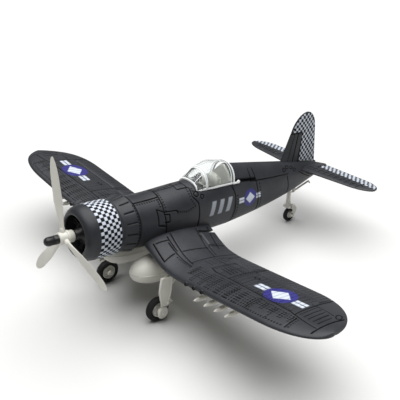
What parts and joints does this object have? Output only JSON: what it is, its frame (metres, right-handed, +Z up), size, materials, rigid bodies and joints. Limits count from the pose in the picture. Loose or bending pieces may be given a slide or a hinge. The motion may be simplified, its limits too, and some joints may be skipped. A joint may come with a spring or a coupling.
{
  "type": "model warbird aircraft",
  "caption": "Gull-winged naval fighter model with a spinning propeller, sliding canopy, rolling wheels and hinged control surfaces, standing on its landing gear.",
  "frame": {"origin": "centre of the bounding box across the span and along the length, at ground level under the tyres", "axes": "+X towards the left wing tip, -Y towards the nose, +Z up, with the model standing nose up on its three wheels"},
  "size_m": [0.26, 0.212, 0.0957],
  "materials": {
    "navy_plastic": "matte dark blue-grey moulded plastic with black-filled recessed panel lines",
    "ivory_plastic": "satin off-white moulded plastic",
    "black_plastic": "satin black moulded plastic",
    "black_rubber": "matte black",
    "clear_plastic": "clear glossy plastic"
  },
  "bodies": {
    "airframe": {"fuselage_left": "navy_plastic", "fuselage_right": "navy_plastic", "belly_panel": "ivory_plastic", "cowling": "navy_plastic", "cowl_flap_ring": "navy_plastic", "radial_engine": "black_plastic", "engine_gearbox": "black_plastic", "firewall": "navy_plastic", "cockpit_tub": "ivory_plastic", "pilot_seat": "ivory_plastic", "instrument_panel": "black_plastic", "control_stick": "black_plastic", "windscreen": "clear_plastic", "wing_upper_left": "navy_plastic", "wing_upper_right": "navy_plastic", "wing_lower_left": "ivory_plastic", "wing_lower_right": "ivory_plastic", "wing_spar": "ivory_plastic", "stabilizer_left": "navy_plastic", "stabilizer_right": "navy_plastic", "fin": "navy_plastic", "gear_leg_left": "ivory_plastic", "gear_leg_right": "ivory_plastic", "gear_door_left": "ivory_plastic", "gear_door_right": "ivory_plastic", "main_axle_left": "ivory_plastic", "main_axle_right": "ivory_plastic", "tail_leg": "ivory_plastic", "tail_axle": "ivory_plastic", "arrestor_hook": "ivory_plastic", "drop_tank_left": "ivory_plastic", "drop_tank_right": "ivory_plastic", "rocket_left_1": "ivory_plastic", "rocket_right_1": "ivory_plastic", "rocket_left_2": "ivory_plastic", "rocket_right_2": "ivory_plastic", "rocket_left_3": "ivory_plastic", "rocket_right_3": "ivory_plastic", "rocket_left_4": "ivory_plastic", "rocket_right_4": "ivory_plastic"},
    "propeller": {"propeller": "ivory_plastic", "spinner_cap": "black_plastic", "propeller_shaft": "black_plastic", "shaft_collar": "ivory_plastic"},
    "canopy": {"canopy_hood": "clear_plastic"},
    "wheel_left": {"tyre_left": "black_rubber", "wheel_hub_left": "ivory_plastic"},
    "wheel_right": {"tyre_right": "black_rubber", "wheel_hub_right": "ivory_plastic"},
    "tail_wheel": {"tail_tyre": "black_rubber", "tail_hub": "ivory_plastic"},
    "rudder": {"rudder": "navy_plastic"},
    "elevator_left": {"elevator_left": "navy_plastic"},
    "elevator_right": {"elevator_right": "navy_plastic"},
    "aileron_left": {"aileron_left": "navy_plastic"},
    "aileron_right": {"aileron_right": "navy_plastic"},
    "flap_inner_left": {"flap_inner_left": "navy_plastic"},
    "flap_inner_right": {"flap_inner_right": "navy_plastic"},
    "flap_outer_left": {"flap_outer_left": "navy_plastic"},
    "flap_outer_right": {"flap_outer_right": "navy_plastic"}
  },
  "joints": [
    {"name": "propeller_spin", "type": "hinge", "parent": "airframe", "child": "propeller", "pos_m": [0, -0.09546, 0.0565], "axis": [0, 0.9884, -0.1519], "continuous": true},
    {"name": "canopy_slide", "type": "slide", "parent": "airframe", "child": "canopy", "axis": [0, 0.9884, -0.1519], "range_m": [0, 0.013]},
    {"name": "wheel_left_roll", "type": "hinge", "parent": "airframe", "child": "wheel_left", "pos_m": [0.0244, -0.05904, 0.0071], "axis": [1, 0, 0], "continuous": true},
    {"name": "wheel_right_roll", "type": "hinge", "parent": "airframe", "child": "wheel_right", "pos_m": [-0.0244, -0.05904, 0.0071], "axis": [1, 0, 0], "continuous": true},
    {"name": "tail_wheel_roll", "type": "hinge", "parent": "airframe", "child": "tail_wheel", "pos_m": [0, 0.07051, 0.0048], "axis": [1, 0, 0], "continuous": true},
    {"name": "rudder_turn", "type": "hinge", "parent": "airframe", "child": "rudder", "pos_m": [0, 0.07956, 0.05187], "axis": [0, 0.1519, 0.9884], "range_deg": [-25, 25]},
    {"name": "elevator_left_turn", "type": "hinge", "parent": "airframe", "child": "elevator_left", "pos_m": [0.027, 0.08921, 0.03562], "axis": [-1, 0, 0], "range_deg": [-20, 20]},
    {"name": "elevator_right_turn", "type": "hinge", "parent": "airframe", "child": "elevator_right", "pos_m": [-0.027, 0.08921, 0.03562], "axis": [-1, 0, 0], "range_deg": [-20, 20]},
    {"name": "aileron_left_turn", "type": "hinge", "parent": "airframe", "child": "aileron_left", "pos_m": [0.0865, -0.0247, 0.03585], "axis": [-0.9894, 0.0428, -0.1387], "range_deg": [-20, 20]},
    {"name": "aileron_right_turn", "type": "hinge", "parent": "airframe", "child": "aileron_right", "pos_m": [-0.0865, -0.0247, 0.03585], "axis": [-0.9894, -0.0428, 0.1387], "range_deg": [-20, 20]},
    {"name": "flap_inner_left_turn", "type": "hinge", "parent": "airframe", "child": "flap_inner_left", "pos_m": [0.0209, -0.02099, 0.03231], "axis": [-0.9469, 0.1482, 0.2852], "range_deg": [0, 50]},
    {"name": "flap_inner_right_turn", "type": "hinge", "parent": "airframe", "child": "flap_inner_right", "pos_m": [-0.0209, -0.02099, 0.03231], "axis": [-0.9469, -0.1482, -0.2852], "range_deg": [0, 50]},
    {"name": "flap_outer_left_turn", "type": "hinge", "parent": "airframe", "child": "flap_outer_left", "pos_m": [0.0525, -0.02337, 0.03122], "axis": [-0.9915, 0.0317, -0.126], "range_deg": [0, 50]},
    {"name": "flap_outer_right_turn", "type": "hinge", "parent": "airframe", "child": "flap_outer_right", "pos_m": [-0.0525, -0.02337, 0.03122], "axis": [-0.9915, -0.0317, 0.126], "range_deg": [0, 50]}
  ],
  "couplings": [
    {"joint": "elevator_right_turn", "follows": "elevator_left_turn", "ratio": 1},
    {"joint": "aileron_right_turn", "follows": "aileron_left_turn", "ratio": -1},
    {"joint": "flap_inner_right_turn", "follows": "flap_inner_left_turn", "ratio": 1},
    {"joint": "flap_outer_left_turn", "follows": "flap_inner_left_turn", "ratio": 1},
    {"joint": "flap_outer_right_turn", "follows": "flap_inner_left_turn", "ratio": 1}
  ]
}
